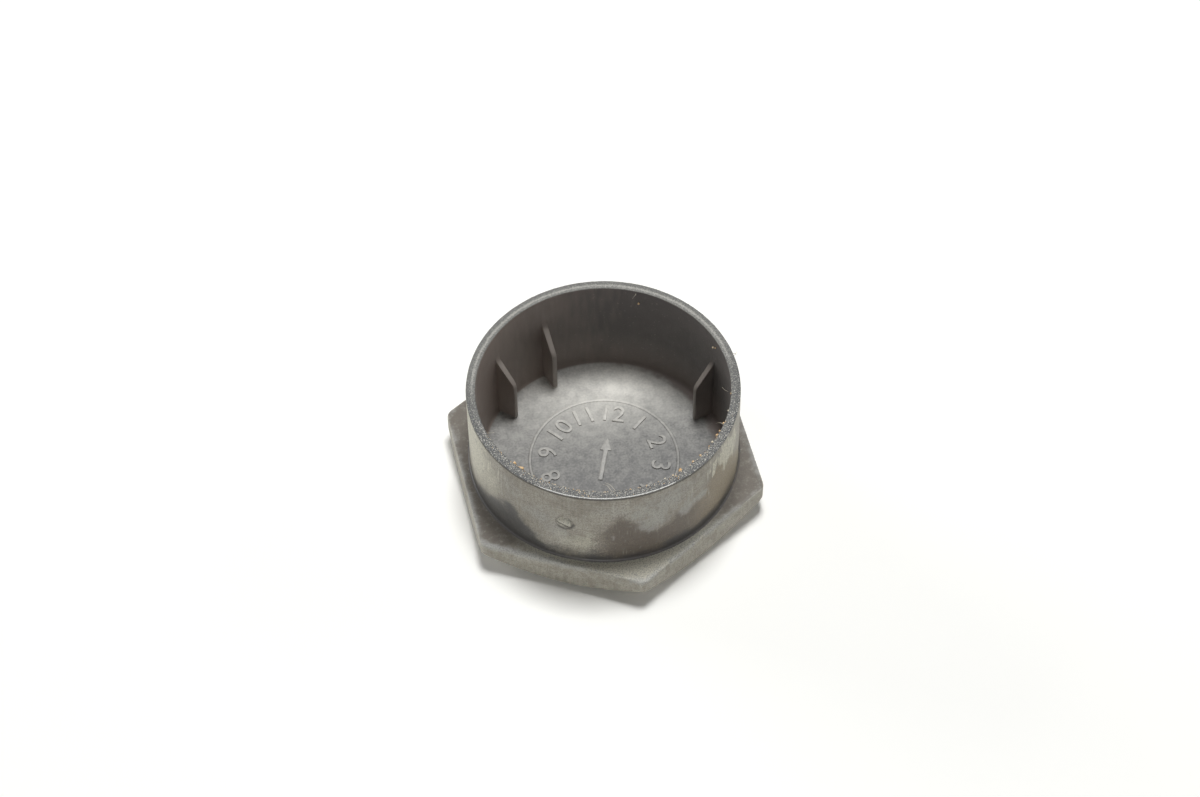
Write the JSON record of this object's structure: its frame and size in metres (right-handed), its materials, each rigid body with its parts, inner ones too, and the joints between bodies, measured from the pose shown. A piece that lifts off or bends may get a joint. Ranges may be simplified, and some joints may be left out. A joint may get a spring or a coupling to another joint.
{
  "type": "lug bolt cap",
  "caption": "Moulded black plastic cap for a wheel bolt: a chamfered hexagonal head with a thin round skirt whose upright inner ribs grip the bolt's head.",
  "frame": {"origin": "centre of the head's flat outer face, on which the cap lies", "axes": "+Z along the cup's axis to its mouth; +X square to one flat of the hexagonal head"},
  "size_m": [0.027, 0.0308, 0.0132],
  "materials": {
    "moulded_plastic": "worn satin, dusty, with pale scuffs"
  },
  "bodies": {
    "root": {"bolt_cap": "moulded_plastic"}
  },
  "joints": []
}
